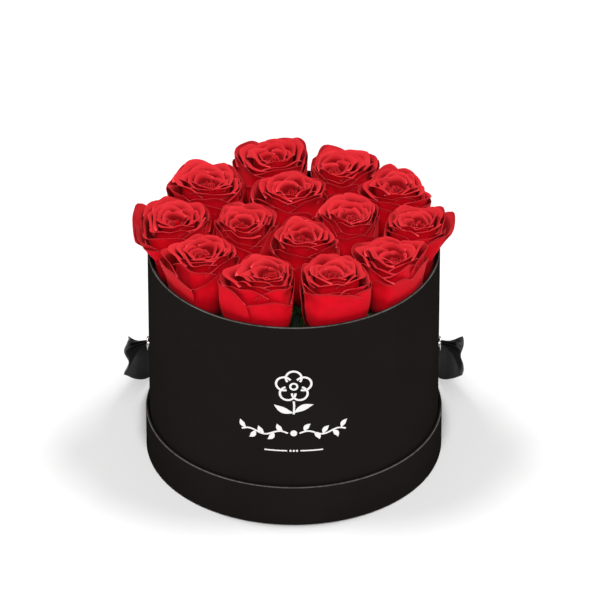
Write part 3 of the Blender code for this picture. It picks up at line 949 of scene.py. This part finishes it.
def whorl_petals(room, draw, turn, lift):
    """Whorl after whorl of wider petals. The order of the draws is what keeps each bloom the same."""
    parts = []
    leaning = LEANING_OVERHANG if room.number in LEANING_ROSES else 0.0
    for ring, whorl in enumerate(WHORLS):
        count, radius, height, half_angle, lip, curl, uneven, drop, lit, steps = whorl
        turn += GOLDEN_TURN
        tilt = draw.uniform(0, math.tau)
        for k in range(count):
            here = turn + math.tau * (k + draw.uniform(-0.10, 0.10)) / count
            made = petal(
                room,
                draw,
                turn=here,
                radius=radius * MM * draw.uniform(0.965, 1.04),
                height=height * MM + lift + (math.cos(here - tilt) + draw.uniform(-1, 1) * uneven) * MM,
                half_angle=math.radians(half_angle * draw.uniform(0.95, 1.08)),
                lip=lip * MM * draw.uniform(0.88, 1.12),
                curl=math.radians(curl * draw.uniform(0.85, 1.15)),
                steps=steps,
                drop=draw.uniform(0.35, 1.0) * drop * MM,
                tuck=draw.uniform(0.9, 1.4) * MM,
                point=draw.uniform(0.4, 2.4) * MM,
                ripple=(0.36 + 0.10 * ring) * MM,
                corners=draw.uniform(4.2, 5.8),
                angular=draw.uniform(0.30, 0.65),
                overhang=(draw.uniform(2.0, 5.0) + leaning) * MM,
                inset=0.9 * (len(WHORLS) - 1 - ring) * MM,
                lit=lit,
                start=0.4 if ring < 3 else 0.0,
            )
            parts.append(made)
    return parts


def flared_petals(room, draw, lift):
    """The loose outer petals that a few of the blooms have."""
    return [
        petal(
            room,
            draw,
            turn=math.radians(direction),
            radius=26 * MM,
            height=height * MM + lift,
            half_angle=math.radians(half_angle),
            lip=lip * MM,
            curl=math.radians(68),
            steps=(15, 15),
            drop=5 * MM,
            tuck=0.6 * MM,
            point=3.0 * MM,
            ripple=0.8 * MM,
            overhang=overhang * MM,
            lit=(0.05, 0.42),
            edge_curl=-0.3,
        )
        for direction, overhang, height, half_angle, lip in FLARED.get(room.number, ())
    ]


def rose_petals(number):
    """All the petals of one bloom."""
    draw = np.random.RandomState(100 + number)
    room = Room(number)
    lift = room.top - room.base - NOMINAL_TALL
    parts, turn = heart_petals(room, draw, draw.uniform(0, math.tau), lift)
    parts += whorl_petals(room, draw, turn, lift)
    parts += flared_petals(room, draw, lift)
    points, faces, attributes = gathered(parts)
    name = f"rose_{number:02d}"
    made = mesh_object(f"{name}_petals", points, faces, PETAL_FINISH, sharp=58, attributes=attributes)
    place_piece(made, name, "rose_petals", f"{name}_bloom")


def sepal(middle, turn, root, height, droop):
    """A narrow leaf that grows outwards from the calyx's edge, rises a little and then droops."""
    u = np.linspace(-1, 1, 5)[:, None]
    v = np.linspace(0, 1, 11)[None, :]
    half = (3.4 * np.sin(math.pi * np.clip(0.18 + 0.82 * v, 0, 1)) ** 0.7 + 0.15) * MM
    out = (root + 10.5 * MM * v**1.1) + 0 * u
    up = height + (7.5 * v - 11.0 * v**2 * droop) * MM - 0.8 * MM * u**2
    side = half * u
    x = middle.x + out * math.cos(turn) - side * math.sin(turn)
    y = middle.y + out * math.sin(turn) + side * math.cos(turn)
    return shell(np.stack([x, y, up], -1), 0.5 * MM)


def rose_calyx(number):
    """A green cup with five narrow sepals that hug the underside of the bloom."""
    name = f"rose_{number:02d}"
    draw = np.random.RandomState(300 + number)
    low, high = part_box(f"{name}_calyx")
    middle = (low + high) / 2
    wide = (high.x - low.x) / 2
    tall = high.z - low.z
    # The cup's outline, as shares of its half width and height.
    under = [(0.0, 0.0), (0.40, 0.0), (0.52, 0.08), (0.86, 0.38), (1.0, 0.70)]
    over = [(0.95, 0.95), (0.6, 1.0), (0.0, 1.0)]
    points, rows = turned_points([(r * wide, low.z + h * tall) for r, h in under + over], 20)
    all_points = [np.array(points) + (middle.x, middle.y, 0)]
    all_faces = turned_faces(rows, closed=False)
    offset = len(points)
    for k in range(5):
        turn = math.tau * k / 5 + draw.uniform(-0.1, 0.1)
        points, faces = sepal(middle, turn, wide * 0.97, low.z + tall * 0.62, draw.uniform(0.7, 1.2))
        all_points.append(points)
        all_faces += (faces + offset).tolist()
        offset += len(points)
    made = mesh_object(f"{name}_sepals", np.concatenate(all_points), all_faces, SEPAL_FINISH, sharp=60)
    place_piece(made, name, "rose_green", f"{name}_calyx")


def thorn(root, turn):
    """A small cone that points outwards and a little down: its foot's eight points, then its tip."""
    ring = np.linspace(0, math.tau, THORN_SIDES, endpoint=False)
    out = np.array([math.cos(turn), math.sin(turn), 0])
    side = np.array([-math.sin(turn), math.cos(turn), 0])
    foot = root + 0.9 * MM * np.outer(np.cos(ring), side) + 1.5 * MM * np.outer(np.sin(ring), (0, 0, 1))
    tip = root + out * 2.9 * MM - np.array([0, 0, 1.1 * MM])
    return np.concatenate([foot, tip[None]])


def rose_stem(number):
    """A stem that swells a little at its joints, cut at the foot, with a few thorns above the foam."""
    name = f"rose_{number:02d}"
    draw = np.random.RandomState(500 + number)
    low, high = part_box(f"{name}_stem")
    middle = (low + high) / 2
    radius = (high.x - low.x) / 2
    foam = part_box("foam_block")[1].z
    sides, rings = 14, 36
    turns = np.linspace(0, math.tau, sides, endpoint=False)
    heights = np.linspace(low.z, high.z, rings)
    swell = 0.93 + 0.05 * np.cos(heights / (9 * MM) + draw.uniform(0, 6)) ** 8
    rows = radius * swell[:, None] * (1 + 0.02 * np.cos(5 * turns))[None, :]
    x = middle.x + rows * np.cos(turns)
    y = middle.y + rows * np.sin(turns)
    z = np.broadcast_to(heights[:, None], rows.shape)
    points = np.stack([x, y, z], -1).reshape(-1, 3)
    index = np.arange(rings * sides).reshape(rings, sides)
    right = np.roll(index, -1, 1)
    faces = np.stack([index[:-1], right[:-1], right[1:], index[1:]], -1).reshape(-1, 4).tolist()
    faces += [index[0, ::-1].tolist(), index[-1].tolist()]
    all_points, offset = [points], len(points)
    for k in range(4):
        height = foam + (8 + 10 * k + draw.uniform(-2, 2)) * MM
        turn = draw.uniform(0, math.tau)
        root = np.array([middle.x, middle.y, height])
        root += np.array([math.cos(turn), math.sin(turn), 0]) * radius * 0.75
        all_points.append(thorn(root, turn))
        tip = offset + THORN_SIDES
        faces += [[offset + j, offset + (j + 1) % THORN_SIDES, tip] for j in range(THORN_SIDES)]
        faces += [[offset + j for j in reversed(range(THORN_SIDES))]]
        offset = tip + 1
    made = mesh_object(f"{name}_stalk", np.concatenate(all_points), faces, STEM_FINISH, sharp=50)
    place_piece(made, name, "rose_green", f"{name}_stem")


# ---------------------------------------------------------------- staging
def finish_cad_nodes():
    """CAD nodes that stay get the finished materials."""
    for name, finish in (
        ("box_floor", BOARD_FINISH),
        ("washer_left", METAL_FINISH),
        ("washer_right", METAL_FINISH),
        ("foam_block", FOAM_FINISH),
        ("foam_liner", FILM_FINISH),
    ):
        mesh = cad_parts[name].data
        mesh.materials.clear()
        mesh.materials.append(finish)


def area_light(name, place, size, power):
    """A round soft light turned towards the roses."""
    lamp = bpy.data.lights.new(name, "AREA")
    lamp.shape = "DISK"
    lamp.size = size
    lamp.energy = power
    made = bpy.data.objects.new(name, lamp)
    made.location = place
    made.rotation_euler = (Vector(LIT_PLACE) - Vector(place)).to_track_quat("-Z", "Y").to_euler()
    bpy.context.scene.collection.objects.link(made)


def stage():
    """A plain pale floor, an even white world and three soft lights."""
    mesh = bpy.data.meshes.new("floor")
    corners = [(x * FLOOR_HALF, y * FLOOR_HALF, 0) for x, y in ((-1, -1), (1, -1), (1, 1), (-1, 1))]
    mesh.from_pydata(corners, [], [(0, 1, 2, 3)])
    floor = bpy.data.objects.new("floor", mesh)
    made, _, shader = new_material("white_floor", (FLOOR_GREY,) * 3, 0.8)
    shader.inputs["Specular IOR Level"].default_value = 0.2
    mesh.materials.append(made)
    bpy.context.scene.collection.objects.link(floor)
    floor.location.z = -FLOOR_DROP
    world = bpy.data.worlds.new("studio")
    bpy.context.scene.world = world
    world.use_nodes = True
    background = world.node_tree.nodes["Background"]
    background.inputs["Color"].default_value = (1, 1, 1, 1)
    background.inputs["Strength"].default_value = WORLD_STRENGTH
    for light in LIGHTS:
        area_light(*light)


def camera():
    """A camera at the photograph's viewing angle, far away and with a long lens."""
    lens = bpy.data.cameras.new("camera")
    lens.lens = CAMERA_LENS
    lens.sensor_width = SENSOR_WIDTH
    lens.clip_start = 0.05
    lens.clip_end = 40
    made = bpy.data.objects.new("camera", lens)
    made.location = CAMERA_PLACE
    made.rotation_euler = (math.radians(90 - CAMERA_DOWN), 0, 0)
    bpy.context.scene.collection.objects.link(made)
    bpy.context.scene.camera = made


bpy.context.scene.view_settings.view_transform = "Standard"
BOARD_FINISH = board_material()
METAL_FINISH = metal_material()
SATIN_FINISH = satin_material()
PRINT_FINISH = print_material()
FOAM_FINISH = foam_material()
FILM_FINISH = film_material()
PETAL_FINISH = petal_material()
STEM_FINISH = green_material("rose_stem_green", (0.030, 0.085, 0.018), (0.075, 0.170, 0.040), 0.15)
SEPAL_FINISH = green_material("rose_sepal_green", (0.020, 0.060, 0.012), (0.055, 0.125, 0.030), 0.6)

camera()
stage()
finish_cad_nodes()
box_wall()
lid()
eyelets()
printed_emblem()
ribbon_handle()
for rose_number in range(1, ROSE_COUNT + 1):
    rose_petals(rose_number)
    rose_calyx(rose_number)
    rose_stem(rose_number)
